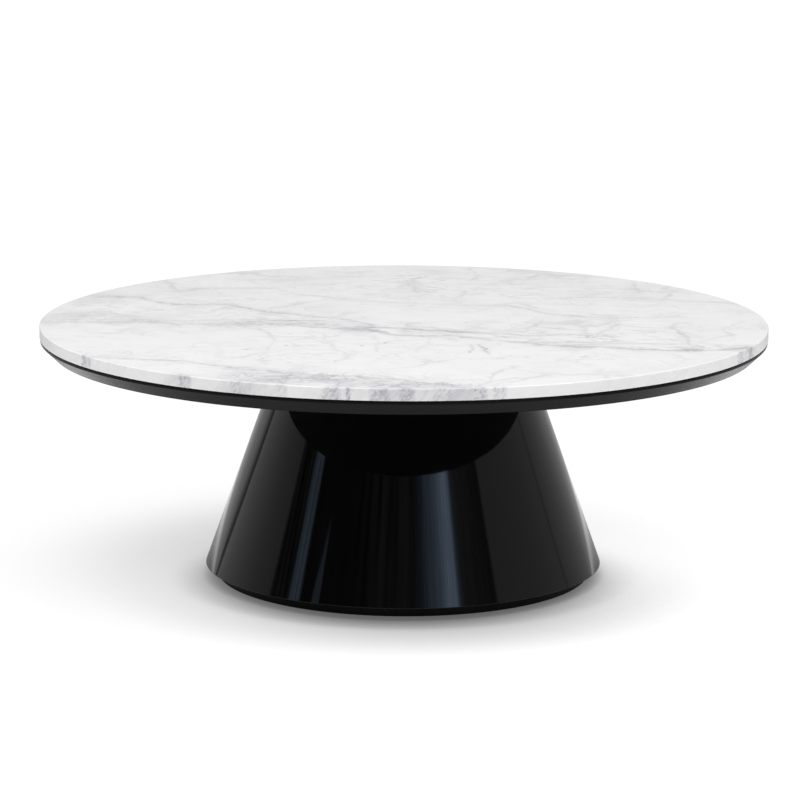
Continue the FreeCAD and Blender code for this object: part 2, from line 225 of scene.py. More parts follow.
# White marble. Places and half widths are shares of the slab's radius, x to the right and y away from the
# camera. A vein is the axis that it runs along, its half width, its blueness, and its points: place along,
# place across, strength.
VEIN_SHARES = (
    # the dark vein from the far left to the middle
    ("x", 0.020, 0.15, ((-0.95, 0.36, 0.2), (-0.79, 0.395, 0.5), (-0.69, 0.31, 0.6), (-0.64, 0.255, 0.75),
                        (-0.53, 0.255, 0.65), (-0.41, 0.165, 0.75), (-0.33, 0.115, 0.6), (-0.17, 0.02, 0.5),
                        (-0.09, -0.06, 0.5), (-0.05, -0.14, 0.0))),
    # the broad band from the left edge, which fades before the dark knot near the middle
    ("x", 0.040, 0.25, ((-1.0, -0.025, 0.45), (-0.8, -0.04, 0.55), (-0.65, -0.05, 0.5), (-0.5, -0.055, 0.55),
                        (-0.44, -0.06, 0.7), (-0.37, -0.05, 0.5), (-0.28, -0.05, 0.3), (-0.2, -0.08, 0.0))),
    # its sharp upper and lower strands, which meet at the knot
    ("x", 0.010, 0.1, ((-1.0, 0.0, 0.5), (-0.8, 0.0, 0.6), (-0.6, -0.005, 0.4), (-0.44, 0.0, 0.6),
                       (-0.3, 0.0, 0.75), (-0.2, -0.012, 0.7), (-0.13, -0.02, 0.6), (-0.095, -0.065, 0.6),
                       (-0.06, -0.13, 0.0))),
    ("x", 0.011, 0.15, ((-0.5, -0.05, 0.0), (-0.4, -0.06, 0.5), (-0.33, -0.072, 0.8), (-0.25, -0.105, 0.85),
                        (-0.18, -0.13, 0.8), (-0.1, -0.155, 1.0), (-0.06, -0.185, 1.0), (-0.03, -0.21, 0.5),
                        (0.0, -0.23, 0.0))),
    ("x", 0.030, 0.3, ((-0.2, -0.11, 0.0), (-0.15, -0.12, 0.7), (-0.1, -0.14, 0.95), (-0.06, -0.175, 0.7),
                       (-0.03, -0.2, 0.0))),
    # the upper of two branches past the knot
    ("x", 0.012, 0.1, ((-0.14, -0.09, 0.0), (-0.08, -0.11, 0.95), (0.0, -0.13, 0.9), (0.13, -0.175, 0.9),
                       (0.25, -0.19, 0.6), (0.36, -0.225, 0.6), (0.48, -0.22, 0.4), (0.6, -0.2, 0.0))),
    # the lower branch, which runs out to the right edge, and a strand above it
    ("x", 0.015, 0.3, ((-0.1, -0.16, 0.0), (-0.05, -0.21, 0.8), (0.03, -0.235, 0.7), (0.15, -0.255, 0.8),
                       (0.23, -0.295, 0.65), (0.33, -0.345, 0.75), (0.49, -0.39, 0.85), (0.66, -0.425, 0.85),
                       (0.8, -0.435, 1.0), (0.92, -0.40, 1.0))),
    ("x", 0.008, 0.0, ((0.25, -0.31, 0.0), (0.3, -0.335, 0.5), (0.43, -0.325, 0.5), (0.5, -0.33, 0.5),
                       (0.62, -0.335, 0.5), (0.73, -0.335, 0.5), (0.78, -0.36, 0.0))),
    # the vein at the front left, and the dark band that it runs into
    ("x", 0.013, 0.2, ((-0.9, -0.53, 0.5), (-0.76, -0.59, 0.55), (-0.66, -0.62, 0.6), (-0.57, -0.63, 0.7),
                       (-0.48, -0.69, 0.6), (-0.33, -0.77, 0.5), (-0.2, -0.83, 0.0))),
    ("x", 0.055, 0.6, ((-0.5, -0.83, 0.0), (-0.41, -0.87, 0.35), (-0.25, -0.87, 0.5), (-0.1, -0.9, 0.4),
                       (0.0, -0.935, 0.4), (0.1, -0.965, 0.35), (0.2, -0.99, 0.2), (0.3, -1.0, 0.0))),
    # the sharp far edge of that band
    ("x", 0.010, 0.3, ((-0.42, -0.82, 0.0), (-0.34, -0.83, 0.6), (-0.2, -0.82, 0.9), (-0.06, -0.855, 0.9),
                       (0.02, -0.895, 0.8), (0.1, -0.94, 0.8), (0.17, -0.97, 0.6), (0.22, -0.99, 0.0))),
    # faint veins across the back
    ("x", 0.016, 0.0, ((-0.36, 0.46, 0.0), (-0.28, 0.43, 0.35), (-0.1, 0.33, 0.25), (0.15, 0.265, 0.25),
                       (0.31, 0.23, 0.45), (0.43, 0.1, 0.4), (0.66, 0.075, 0.4), (0.8, 0.1, 0.0))),
    ("x", 0.016, 0.0, ((0.38, 0.42, 0.0), (0.5, 0.41, 0.35), (0.66, 0.395, 0.4), (0.82, 0.35, 0.4),
                       (0.95, 0.31, 0.4))),
    ("x", 0.014, 0.0, ((-0.69, 0.48, 0.0), (-0.54, 0.56, 0.4), (-0.43, 0.555, 0.35), (-0.33, 0.49, 0.3),
                       (-0.24, 0.39, 0.0))),
    ("y", 0.012, 0.0, ((0.33, 0.13, 0.0), (0.4, 0.15, 0.3), (0.5, 0.18, 0.4), (0.54, 0.08, 0.35),
                       (0.62, 0.0, 0.3), (0.75, -0.02, 0.0))),
    ("y", 0.010, 0.0, ((0.46, 0.035, 0.0), (0.53, 0.03, 0.45), (0.69, 0.035, 0.4), (0.74, 0.02, 0.0))),
    ("y", 0.010, 0.0, ((0.7, 0.2, 0.0), (0.76, 0.215, 0.35), (0.92, 0.2, 0.4), (1.0, 0.22, 0.3))),
    ("y", 0.010, 0.0, ((0.48, 0.69, 0.0), (0.53, 0.68, 0.4), (0.66, 0.675, 0.35), (0.72, 0.68, 0.0))),
    # lines that cross the right side
    ("y", 0.010, 0.25, ((-0.42, 0.8, 0.0), (-0.39, 0.79, 0.55), (-0.33, 0.755, 0.6), (-0.1, 0.745, 0.5),
                        (0.02, 0.76, 0.0))),
    ("y", 0.008, 0.0, ((-0.18, 0.32, 0.0), (-0.15, 0.335, 0.5), (-0.05, 0.38, 0.4), (0.0, 0.4, 0.0))),
    ("y", 0.008, 0.0, ((-0.28, 0.51, 0.0), (-0.24, 0.52, 0.5), (-0.1, 0.57, 0.4), (-0.04, 0.59, 0.0))),
    # hairlines in the white field at the front
    ("y", 0.006, 0.0, ((-0.68, -0.35, 0.0), (-0.64, -0.355, 0.5), (-0.55, -0.375, 0.3), (-0.33, -0.35, 0.35),
                       (-0.18, -0.38, 0.5), (-0.12, -0.4, 0.0))),
    ("y", 0.006, 0.0, ((-0.66, -0.19, 0.0), (-0.62, -0.18, 0.45), (-0.57, -0.15, 0.4), (-0.46, -0.18, 0.45),
                       (-0.25, -0.215, 0.4), (-0.16, -0.22, 0.0))),
    ("y", 0.005, 0.0, ((-0.5, -0.07, 0.0), (-0.45, -0.075, 0.3), (-0.3, -0.085, 0.35), (-0.18, -0.1, 0.0))),
    ("y", 0.005, 0.0, ((-0.5, 0.035, 0.0), (-0.46, 0.04, 0.3), (-0.3, 0.065, 0.3), (-0.24, 0.07, 0.0))),
    ("y", 0.006, 0.0, ((-0.99, 0.185, 0.4), (-0.88, 0.215, 0.5), (-0.78, 0.22, 0.45), (-0.7, 0.285, 0.4),
                       (-0.66, 0.3, 0.0))),
    ("y", 0.006, 0.0, ((-0.64, 0.4, 0.0), (-0.61, 0.405, 0.35), (-0.52, 0.435, 0.3), (-0.48, 0.44, 0.0))),
    # two short dark strokes below the branches
    ("y", 0.007, 0.0, ((-0.51, 0.172, 0.0), (-0.48, 0.172, 0.75), (-0.4, 0.172, 0.6), (-0.36, 0.17, 0.0))),
    ("y", 0.008, 0.0, ((-0.52, 0.225, 0.0), (-0.48, 0.218, 0.8), (-0.4, 0.2, 0.75), (-0.35, 0.185, 0.0))),
)
# Clouds where the stone turns blue-grey: middle, reach along x and y, strength.
CLOUD_SHARES = (
    (-0.44, -0.07, 0.07, 0.08, 0.45),
    (0.10, -0.18, 0.10, 0.06, 0.62),
    (0.48, -0.34, 0.09, 0.05, 0.45),
    (-0.865, 0.35, 0.12, 0.12, 0.62),
    (-0.95, 0.08, 0.14, 0.12, 0.48),
    (-0.68, -0.01, 0.14, 0.05, 0.35),
    (-0.32, -0.04, 0.12, 0.06, 0.45),
    (-0.18, -0.07, 0.12, 0.06, 0.70),
    (-0.13, -0.14, 0.08, 0.06, 0.68),
    (-0.38, -0.77, 0.14, 0.1, 0.55),
    (-0.27, -0.75, 0.06, 0.1, 0.45),
    (-0.25, -0.88, 0.16, 0.08, 0.65),
    (0.0, -0.96, 0.26, 0.09, 0.50),
    (-0.56, -0.84, 0.05, 0.07, 0.55),
    (-0.40, -0.92, 0.05, 0.06, 0.55),
    (0.16, -0.99, 0.07, 0.05, 0.60),
    (0.75, -0.41, 0.07, 0.06, 0.45),
    (0.9, -0.4, 0.07, 0.06, 0.50),
)
# Regions where a net of small veins shows: middle, reach along x and y, strength.
NET_SHARES = (
    (0.42, -0.27, 0.44, 0.14, 0.75),
    (-0.15, -0.9, 0.42, 0.14, 0.8),
    (-0.3, -0.08, 0.32, 0.12, 0.5),
    (0.62, -0.12, 0.22, 0.25, 0.5),
    (-0.2, -0.4, 0.4, 0.32, 0.35),
    (-0.8, 0.15, 0.25, 0.25, 0.4),
    (0.2, 0.5, 0.7, 0.45, 0.3),
    (0.02, 0.68, 0.32, 0.26, 0.55),
)
# Where small dark specks lie: middle, reach along x and y, strength.
SPECK_SHARES = (-0.22, -0.42, 0.42, 0.3, 0.61)
# Regions at the front where a finer net shows.
FINE_NET_SHARES = (
    (-0.25, -0.85, 0.28, 0.09, 1.0),
    (0.03, -0.94, 0.22, 0.07, 0.95),
)
# Patches on the front edge, where veins come out of the slab: place along x, half width, strength.
EDGE_PATCH_SHARES = (
    (-0.830, 0.010, 0.90), (-0.551, 0.018, 0.80), (-0.416, 0.018, 0.60), (-0.303, 0.016, 0.40),
    (-0.180, 0.026, 0.85), (-0.137, 0.006, 0.95), (-0.059, 0.030, 0.70), (0.009, 0.022, 0.70),
    (0.099, 0.028, 0.60), (0.191, 0.020, 1.00), (0.238, 0.020, 0.60), (0.884, 0.010, 0.80),
)
# How far noise moves their sides.
EDGE_PATCH_WAVE_SHARE = 0.02
# The shares of the radius between which the edge begins, and how much of the small lines it loses.
EDGE_SPAN_SHARES = (0.990, 0.997)
EDGE_CLEANNESS = 0.7
# How far veins lean over for each unit of depth, and how much of the depth the patterns follow.
VEIN_LEAN = 0.8
DEPTH_SHARE = 0.35
# A vein's halo in half widths, its plain tone, and what its threads add.
VEIN_HALO = 3.4
HALO_TONE = 0.2
HALO_THREADS = 0.5
# How far a broad and a fine noise move the veins, and the faint lines.
VEIN_WARP_SHARES = (0.08, 0.045)
FAINT_WARP_SHARES = (0.30, 0.06)
# The scales that stretch a pattern along the run of the main veins.
MAIN_RUN = (0.55, 1.2, 1.0)
# Lines between cells: the cells' scale, the lines' width, the scale and span of the noise that shows them,
# and the least and the most that they show.
NET_LINES = (15.0, (0.10, 0.0), 10.0, (0.38, 0.62), (0.0, 1.0))
FINE_NET_LINES = (30.0, (0.18, 0.02), 26.0, (0.36, 0.58), (0.3, 1.0))
FAINT_LINES = (3.3, (0.07, 0.0), 3.0, (0.42, 0.66), (0.0, 0.36))
HAIR_LINES = (8.0, (0.035, 0.0), 4.6, (0.46, 0.66), (0.0, 0.4))
# The soft haze grows from the front to the back, partly the stone's own clouding and partly painted shade for
# the dimmer light at the back: two places, and its strength at each.
HAZE_AND_SHADE_SPAN_SHARES = (-0.41, 0.738)
HAZE_AND_SHADE_STRENGTHS = (0.6, 1.5)
# Tones of the white and of grey and blue veins, and how much of the white clouds and the darkest veins cover.
MARBLE_WHITE = (0.862, 0.862, 0.862, 1)
VEIN_TONES = ((0.33, 0.328, 0.35, 1), (0.347, 0.348, 0.435, 1))
CLOUD_COVER = 0.55
VEIN_COVER = 0.85
MARBLE_ROUGHNESS = (0.07, 0.12)
MARBLE_IOR = 1.5


def to_unit(share):
    """A share from -1 to 1 as a place from 0 to 1."""
    return (share + 1) / 2


def vein_masks(graph, place, spread, ragged, half_width, points):
    """The core of one vein and the halo round it. place is (along, across), spread varies the width."""
    along, across = place
    step = graph.times_add(along, 0.5, 0.5)
    middle = graph.curve(step, [(to_unit(a), to_unit(b)) for a, b, _ in points])
    strength = graph.curve(step, [(to_unit(a), level) for a, _, level in points])
    reach = graph.apart(across, graph.times_add(middle, 2.0, -1.0))
    relative = graph.math("DIVIDE", reach, graph.times(spread, half_width))
    core = graph.ramp(graph.add(relative, ragged), 1.0, 0.25)
    halo = graph.ramp(relative, VEIN_HALO, 0.0)
    return graph.times(core, strength), graph.times(halo, strength)


def region_mask(graph, place, region):
    """A soft oval, strongest at its middle and 0 outside."""
    x, y = place
    middle_x, middle_y, reach_x, reach_y, strength = region
    from_x = graph.math("DIVIDE", graph.minus(x, middle_x), reach_x)
    from_y = graph.math("DIVIDE", graph.minus(y, middle_y), reach_y)
    return graph.ramp(graph.distance(from_x, from_y), 1.2, 0.2, 0.0, strength)


def regions_mask(graph, place, regions):
    return graph.strongest([region_mask(graph, place, region) for region in regions])


def crack_lines(graph, place, shares, kind):
    """Lines between cells, which show only here and there."""
    scale, width, where_scale, where_span, strengths = kind
    lines = graph.ramp(graph.cracks(place, scale), *width)
    where = graph.ramp(graph.noise(shares, where_scale), *where_span, *strengths)
    return graph.times(lines, where)


def warped_place(graph, place, moves, amounts):
    """A place that is moved about, by an amount of each move."""
    for move, amount in zip(moves, amounts):
        place = graph.vector("ADD", place, graph.scaled(move, amount))
    return place


def main_veins(graph, shares, warped, ridge):
    """The veins drawn one by one, with threads in their halos, and how blue the stone is near them."""
    wx, wy = graph.split(warped)[:2]
    spread = graph.varied(graph.noise(shares, 9.0), 0.45, 1.7)
    ragged = graph.times_add(graph.noise(shares, 46.0, 4.0, 0.65), 2.4, -1.2)
    cores = []
    halos = []
    blues = []
    for axis, half_width, blueness, points in VEIN_SHARES:
        way = (wx, wy) if axis == "x" else (wy, wx)
        core, halo = vein_masks(graph, way, spread, ragged, half_width, points)
        cores.append(core)
        halos.append(halo)
        if blueness:
            blues.append(graph.times(halo, blueness))
    broken = graph.ramp(graph.noise(warped, 30.0, 5.0, 0.65), 0.28, 0.62, 0.3, 1.0)
    core = graph.times(graph.strongest(cores), broken)
    halo_tone = graph.times_add(graph.ramp(ridge, 0.09, 0.0), HALO_THREADS, HALO_TONE)
    veins = graph.math("MAXIMUM", core, graph.times(graph.strongest(halos), halo_tone))
    return veins, graph.strongest(blues)


def speck_spots(graph, warped, flat):
    """Small dark specks in some of the cells."""
    cells = graph.node("ShaderNodeTexVoronoi", {"Vector": warped, "Scale": 17.0}).outputs
    chosen = graph.ramp(graph.split(cells["Color"])[0], 0.58, 0.66)
    spots = graph.times(graph.ramp(cells["Distance"], 0.20, 0.09), chosen)
    return graph.times(spots, region_mask(graph, flat, SPECK_SHARES))


def edge_patches(graph, place, leaned, flat, rim):
    """Mottled patches on the front edge, streaked along the slant of the veins."""
    flat_x, flat_y = flat
    front = graph.math("LESS_THAN", flat_y, 0.0)
    lumps = graph.noise(place, 210.0, 4.0, 0.6)
    streaks = graph.noise(leaned, 190.0, 3.0, 0.6)
    at = graph.add(flat_x, graph.times(graph.minus(lumps, 0.5), EDGE_PATCH_WAVE_SHARE))
    patches = []
    for middle, half_width, strength in EDGE_PATCH_SHARES:
        reach = graph.times(graph.apart(at, middle), 1 / half_width)
        patches.append(graph.ramp(reach, 1.2, 0.5, 0.0, strength))
    tone = graph.times_add(lumps, 0.45, graph.times(streaks, 0.55))
    mottle = graph.ramp(tone, 0.44, 0.60, 0.32, 1.0)
    return graph.times(graph.times(graph.strongest(patches), mottle), graph.times(rim, front))


def white_marble():
    material, graph, place = new_material("white_marble")
    x, y, z = graph.split(place)
    depth = graph.minus(stone_high.z, z)
    leaned = graph.joined(graph.times_add(depth, VEIN_LEAN, x), y, graph.times(depth, DEPTH_SHARE))
    shares = graph.scaled(leaned, 1 / stone_radius)
    flat = graph.split(graph.scaled(place, 1 / stone_radius))[:2]

    noises = (graph.noise(shares, 4.5, output="Color"), graph.noise(shares, 22.0, 5.0, 0.65, output="Color"))
    moves = [graph.vector("SUBTRACT", noise, (0.5, 0.5, 0.5)) for noise in noises]
    warped = warped_place(graph, shares, moves, VEIN_WARP_SHARES)
    far_warped = warped_place(graph, shares, moves, FAINT_WARP_SHARES)
    along_main = graph.vector("MULTIPLY", warped, MAIN_RUN)
    ridge = graph.math("ABSOLUTE", graph.times_add(graph.noise(along_main, 15.0, 4.0, 0.6), 2.0, -1.0))
    at = graph.split(warped)[:2]

    veins, vein_blue = main_veins(graph, shares, warped, ridge)
    clouds = graph.ramp(graph.noise(warped, 16.0, 5.0, 0.6), 0.32, 0.62, 0.25, 1.0)
    clouds = graph.times(regions_mask(graph, at, CLOUD_SHARES), clouds)

    net = graph.times(crack_lines(graph, along_main, shares, NET_LINES), regions_mask(graph, at, NET_SHARES))
    fine_net = crack_lines(graph, warped, shares, FINE_NET_LINES)
    fine_net = graph.times(fine_net, regions_mask(graph, at, FINE_NET_SHARES))
    faint = crack_lines(graph, far_warped, shares, FAINT_LINES)
    hair = crack_lines(graph, far_warped, shares, HAIR_LINES)
    stray = graph.ramp(graph.noise(shares, 3.6), 0.45, 0.7, 0.0, 0.22)
    stray = graph.times(graph.ramp(ridge, 0.05, 0.0), stray)
    small = graph.strongest([net, fine_net, faint, hair, stray, speck_spots(graph, warped, flat)])

    rim = graph.ramp(graph.distance(*flat), *EDGE_SPAN_SHARES)
    small = graph.times(small, graph.times_add(rim, -EDGE_CLEANNESS, 1.0))
    patches = edge_patches(graph, place, leaned, flat, rim)

    haze = graph.ramp(graph.noise(warped, 3.4, 6.0, 0.62), 0.38, 0.72, 0.0, 0.12)
    mottle = graph.ramp(graph.noise(along_main, 13.0, 6.0, 0.68), 0.4, 0.75, 0.0, 0.16)
    # The haze grows towards the back: partly the stone's own clouding, partly painted shade for the dimmer,
    # grazing light there.
    back_haze_and_shade_growth = graph.ramp(flat[1], *HAZE_AND_SHADE_SPAN_SHARES, *HAZE_AND_SHADE_STRENGTHS)
    haze_and_back_shade = graph.times(graph.add(haze, mottle), back_haze_and_shade_growth)

    dark = graph.times_add(clouds, CLOUD_COVER, graph.strongest([veins, small, patches]))
    dark = graph.math("MINIMUM", graph.add(dark, haze_and_back_shade), 1.0)
    blue = graph.strongest([vein_blue, clouds, patches])
    colour = graph.mix(graph.times(dark, VEIN_COVER), MARBLE_WHITE, graph.mix(blue, *VEIN_TONES))
    polish = graph.varied(graph.noise(shares, 40.0), *MARBLE_ROUGHNESS)
    graph.surface({"Base Color": colour, "Roughness": polish, "IOR": MARBLE_IOR})
    return material


# Other finishes: the tones between which each varies, its roughness, and how deep its texture is
LACQUER_TONES = ((0.0006, 0.0006, 0.0007, 1), (0.0011, 0.0011, 0.0012, 1))
LACQUER_ROUGHNESS = (0.02, 0.045)
LACQUER_IOR = 1.5
LACQUER_DEPTH = 0.0006
LACQUER_PEEL_SHARE = 0.01
RIPPLE_SCALES = (14.0, 14.0, 5.6)

STAIN_TONES = ((0.0012, 0.0012, 0.0012, 1), (0.0048, 0.0047, 0.0046, 1))
STAIN_ROUGHNESS = (0.25, 0.16)
STAIN_IOR = 1.21
STAIN_DEPTH = 0.0003
UNDERSIDE_DULLNESS = 0.4
STREAK_SCALES = (3.0, 260.0, 260.0)
PORE_SCALES = (25.0, 1500.0, 1500.0)

PAINT_TONES = ((0.0016, 0.0016, 0.0016, 1), (0.0036, 0.0036, 0.0036, 1))
PAINT_ROUGHNESS = (0.42, 0.55)
PAINT_IOR = 1.22
PAINT_DEPTH = 0.0002

PLYWOOD_TONES = ((0.50, 0.36, 0.21, 1), (0.70, 0.56, 0.38, 1))
PLYWOOD_DARK_PLY = (0.36, 0.24, 0.13, 1)
PLYWOOD_PAINT = (0.003, 0.003, 0.003, 1)
PLYWOOD_ROUGHNESS = (0.68, 0.55)
PLYWOOD_DEPTH = 0.0003
PLY_THICKNESS = 0.0015
PLY_FADE = (0.0004, 0.0011)
FIGURE_SCALES = (4.0, 90.0, 90.0)

BEECH_TONES = ((0.62, 0.43, 0.27, 1), (0.44, 0.27, 0.15, 1))
BEECH_ROUGHNESS = (0.5, 0.65)
BEECH_DEPTH = 0.0002
FLECK_SCALES = (1400.0, 1400.0, 160.0)

ZINC_TONES = ((0.62, 0.63, 0.65, 1), (0.50, 0.52, 0.55, 1))
ZINC_ROUGHNESS = (0.24, 0.38)

NYLON_TONES = ((0.014, 0.014, 0.015, 1), (0.024, 0.024, 0.025, 1))
NYLON_ROUGHNESS = (0.5, 0.62)
NYLON_DEPTH = 0.00015

SILICONE_TONES = ((0.80, 0.82, 0.83, 1), (0.88, 0.89, 0.90, 1))
SILICONE_ROUGHNESS = (0.25, 0.4)
SILICONE_IOR = 1.41
SILICONE_CLEARNESS = 0.7


def gloss_lacquer():
    material, graph, place = new_material("black_gloss_lacquer")
    ripple = graph.stretched_noise(place, RIPPLE_SCALES, 2.0)
    peel = graph.noise(place, 420.0, 2.0)
    normal = graph.bump(graph.times_add(peel, LACQUER_PEEL_SHARE, ripple), 0.15, LACQUER_DEPTH)
    tone = graph.mix(graph.noise(place, 6.0), *LACQUER_TONES)
    gloss = graph.varied(graph.noise(place, 30.0), *LACQUER_ROUGHNESS)
    graph.surface({"Base Color": tone, "Roughness": gloss, "IOR": LACQUER_IOR, "Normal": normal})
    return material


def stained_wood(name, along):
    """Black stained wood, polished where it shows and left dull underneath.
    along turns a place into (along the grain, across it, through it)."""
    material, graph, place = new_material(name)
    run = along(graph, place)
    streaks = graph.stretched_noise(run, STREAK_SCALES, 5.0, 0.6)
    pores = graph.ramp(graph.stretched_noise(run, PORE_SCALES, 2.0), 0.36, 0.5)
    tone = graph.mix(streaks, *STAIN_TONES)
    height = graph.times(graph.add(streaks, pores), 0.5)
    normal = graph.bump(height, 0.25, STAIN_DEPTH)
    polish = graph.varied(streaks, *STAIN_ROUGHNESS)
    ease_end = sub_top_bottom + edge_ease
    dullness = graph.ramp(graph.split(place)[2], ease_end, ease_end + edge_ease, UNDERSIDE_DULLNESS, 0.0)
    rough = graph.add(polish, dullness)
    graph.surface({"Base Color": tone, "Roughness": rough, "IOR": STAIN_IOR, "Normal": normal})
    return material


def round_the_edge(graph, place):
    """Grain that follows the round edge."""
    x, y, z = graph.split(place)
    turn = graph.math("ARCTAN2", y, x)
    return graph.joined(graph.times(turn, edge_radius), z, graph.distance(x, y))


def straight_across(graph, place):
    """Grain that runs from left to right."""
    return place


def painted_board():
    material, graph, place = new_material("black_painted_board")
    tone = graph.mix(graph.noise(place, 12.0), *PAINT_TONES)
    rough = graph.varied(graph.noise(place, 25.0), *PAINT_ROUGHNESS)
    normal = graph.bump(graph.noise(place, 900.0), 0.15, PAINT_DEPTH)
    graph.surface({"Base Color": tone, "Roughness": rough, "IOR": PAINT_IOR, "Normal": normal})
    return material


def birch_plywood():
    """Plain plywood, painted black underneath, where it shows inside the cone's rim."""
    material, graph, place = new_material("birch_plywood")
    z = graph.split(place)[2]
    figure = graph.stretched_noise(place, FIGURE_SCALES, 5.0, 0.6)
    plies = graph.ramp(graph.math("PINGPONG", z, PLY_THICKNESS), *PLY_FADE)
    colour = graph.mix(graph.times(plies, 0.3), graph.mix(figure, *PLYWOOD_TONES), PLYWOOD_DARK_PLY)
    painted = graph.math("LESS_THAN", z, shell_bottom + paint_reach)
    colour = graph.mix(painted, colour, PLYWOOD_PAINT)
    normal = graph.bump(figure, 0.2, PLYWOOD_DEPTH)
    rough = graph.varied(figure, *PLYWOOD_ROUGHNESS)
    graph.surface({"Base Color": colour, "Roughness": rough, "Normal": normal})
    return material


def beech():
    material, graph, place = new_material("beech")
    fleck = graph.stretched_noise(place, FLECK_SCALES)
    colour = graph.mix(graph.ramp(fleck, 0.4, 0.65), *BEECH_TONES)
    rough = graph.varied(fleck, *BEECH_ROUGHNESS)
    normal = graph.bump(fleck, 0.2, BEECH_DEPTH)
    graph.surface({"Base Color": colour, "Roughness": rough, "Normal": normal})
    return material


def zinc_steel():
    material, graph, place = new_material("zinc_steel")
    bloom = graph.noise(place, 90.0, 4.0)
    colour = graph.mix(graph.ramp(bloom, 0.35, 0.65), *ZINC_TONES)
    rough = graph.varied(graph.noise(place, 350.0), *ZINC_ROUGHNESS)
    graph.surface({"Base Color": colour, "Metallic": 1.0, "Roughness": rough})
    return material


def black_nylon():
    material, graph, place = new_material("black_nylon")
    texture = graph.noise(place, 1600.0, 2.0)
    tone = graph.mix(graph.noise(place, 120.0), *NYLON_TONES)
    rough = graph.varied(texture, *NYLON_ROUGHNESS)
    normal = graph.bump(texture, 0.25, NYLON_DEPTH)
    graph.surface({"Base Color": tone, "Roughness": rough, "Normal": normal})
    return material


def clear_silicone():
    material, graph, place = new_material("clear_silicone")
    dust = graph.noise(place, 300.0)
    tone = graph.mix(dust, *SILICONE_TONES)
    rough = graph.varied(dust, *SILICONE_ROUGHNESS)
    graph.surface({
        "Base Color": tone, "Roughness": rough, "IOR": SILICONE_IOR,
        "Transmission Weight": SILICONE_CLEARNESS,
    })
    return material


MATERIALS = {
    "white_marble": white_marble(),
    "clear_silicone": clear_silicone(),
    "black_stained_wood": stained_wood("black_stained_wood", straight_across),
    "black_gloss_lacquer": gloss_lacquer(),
    "black_painted_board": painted_board(),
    "birch_plywood": birch_plywood(),
    "beech": beech(),
    "zinc_steel": zinc_steel(),
    "black_nylon": black_nylon(),
}
edge_wood = stained_wood("black_stained_edge", round_the_edge)


# Turned shapes
def eased(corners):
    """An outline of (radius, level, ease) corners as points, with a tangent arc at each eased corner.
    A guard point on each side of an arc keeps the shading of the flats beside it true."""
    points = []
    for index, (radius, level, ease) in enumerate(corners):
        corner = Vector((radius, level))
        if not ease:
            points.append(corner)
            continue
        before = (Vector(corners[index - 1][:2]) - corner).normalized()
        after = (Vector(corners[(index + 1) % len(corners)][:2]) - corner).normalized()
        half = before.angle(after) / 2
        reach = ease / math.tan(half)
        centre = corner + (before + after).normalized() * (ease / math.sin(half))
        start = corner + before * reach - centre
        end = corner + after * reach - centre
        points.append(corner + before * (reach + ARC_GUARD))
        for step in range(ARC_STEPS + 1):
            points.append(centre + start.slerp(end, step / ARC_STEPS) * ease)
        points.append(corner + after * (reach + ARC_GUARD))
    return points


def finished(name, mesh_data, material, body, nodes):
    """Makes a piece from a bmesh: smooth, dressed, riding on a body and standing for CAD nodes."""
    bmesh.ops.recalc_face_normals(mesh_data, faces=mesh_data.faces)
    mesh = bpy.data.meshes.new(name)
    mesh_data.to_mesh(mesh)
    mesh_data.free()
    mesh.shade_smooth()
    mesh.set_sharp_from_angle(angle=SMOOTH_LIMIT)
    mesh.materials.append(material)
    piece = bpy.data.objects.new(name, mesh)
    bpy.context.scene.collection.objects.link(piece)
    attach(piece, body)
    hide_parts(*nodes)


def ring_of(mesh_data, point, turns):
    """The vertices of one outline point at each turn, or one vertex where the point is on the axis."""
    radius, level = point
    if not radius:
        return [mesh_data.verts.new((0, 0, level))] * len(turns)
    return [mesh_data.verts.new((radius * math.cos(turn), radius * math.sin(turn), level)) for turn in turns]


def swept(points, start=0.0, end=2 * math.pi, steps=ROUND_STEPS, closed=True):
    """A body made by turning an outline about the axis, with flat ends where it isn't a whole turn."""
    whole = math.isclose(end - start, 2 * math.pi)
    count = steps if whole else steps + 1
    turns = [start + (end - start) * step / steps for step in range(count)]
    mesh_data = bmesh.new()
    rings = [ring_of(mesh_data, point, turns) for point in points]
    pairs = list(zip(rings, rings[1:]))
    if closed:
        pairs.append((rings[-1], rings[0]))
    for lower, upper in pairs:
        for step in range(steps):
            onward = (step + 1) % count
            corners = (lower[step], lower[onward], upper[onward], upper[step])
            mesh_data.faces.new(list(dict.fromkeys(corners)))
    if not whole:
        mesh_data.faces.new([ring[0] for ring in rings])
        mesh_data.faces.new([ring[-1] for ring in rings])
    return mesh_data


def stone_top():
    low, high = stone_low.z, stone_high.z
    inner = stone_radius - stone_flat_inset
    outline = eased((
        (0, low, 0), (inner, low, 0), (stone_radius, low, stone_lower_arris),
        (stone_radius, high, stone_upper_arris), (inner, high, 0), (0, high, 0),
    ))
    finished(
        "stone_disc", swept(outline, closed=False), MATERIALS["white_marble"], "stone_top",
        ["marble_top"],
    )


def sub_top_edge():
    core_radius = edge_radius - edge_width
    middle = (sub_top_bottom + sub_top_top) / 2
    tongue_low = middle - tongue_thickness / 2
    tongue_high = middle + tongue_thickness / 2
    tongue_end = core_radius - tongue_length
    outline = eased((
        (core_radius, sub_top_bottom, 0),
        (edge_radius - bevel_run, sub_top_bottom, edge_ease),
        (edge_radius, sub_top_top - edge_land, edge_ease),
        (edge_radius, sub_top_top, edge_ease),
        (core_radius, sub_top_top, 0),
        (core_radius, tongue_high, 0),
        (tongue_end, tongue_high, 0),
        (tongue_end, tongue_low, 0),
        (core_radius, tongue_low, 0),
    ))
    span = 2 * math.pi / edge_count
    for index in range(edge_count):
        mesh_data = swept(outline, index * span, (index + 1) * span, ROUND_STEPS // edge_count)
        finished(
            f"edge_piece_{index + 1}", mesh_data, edge_wood, "base",
            [f"edge_segment_{index + 1}"],
        )


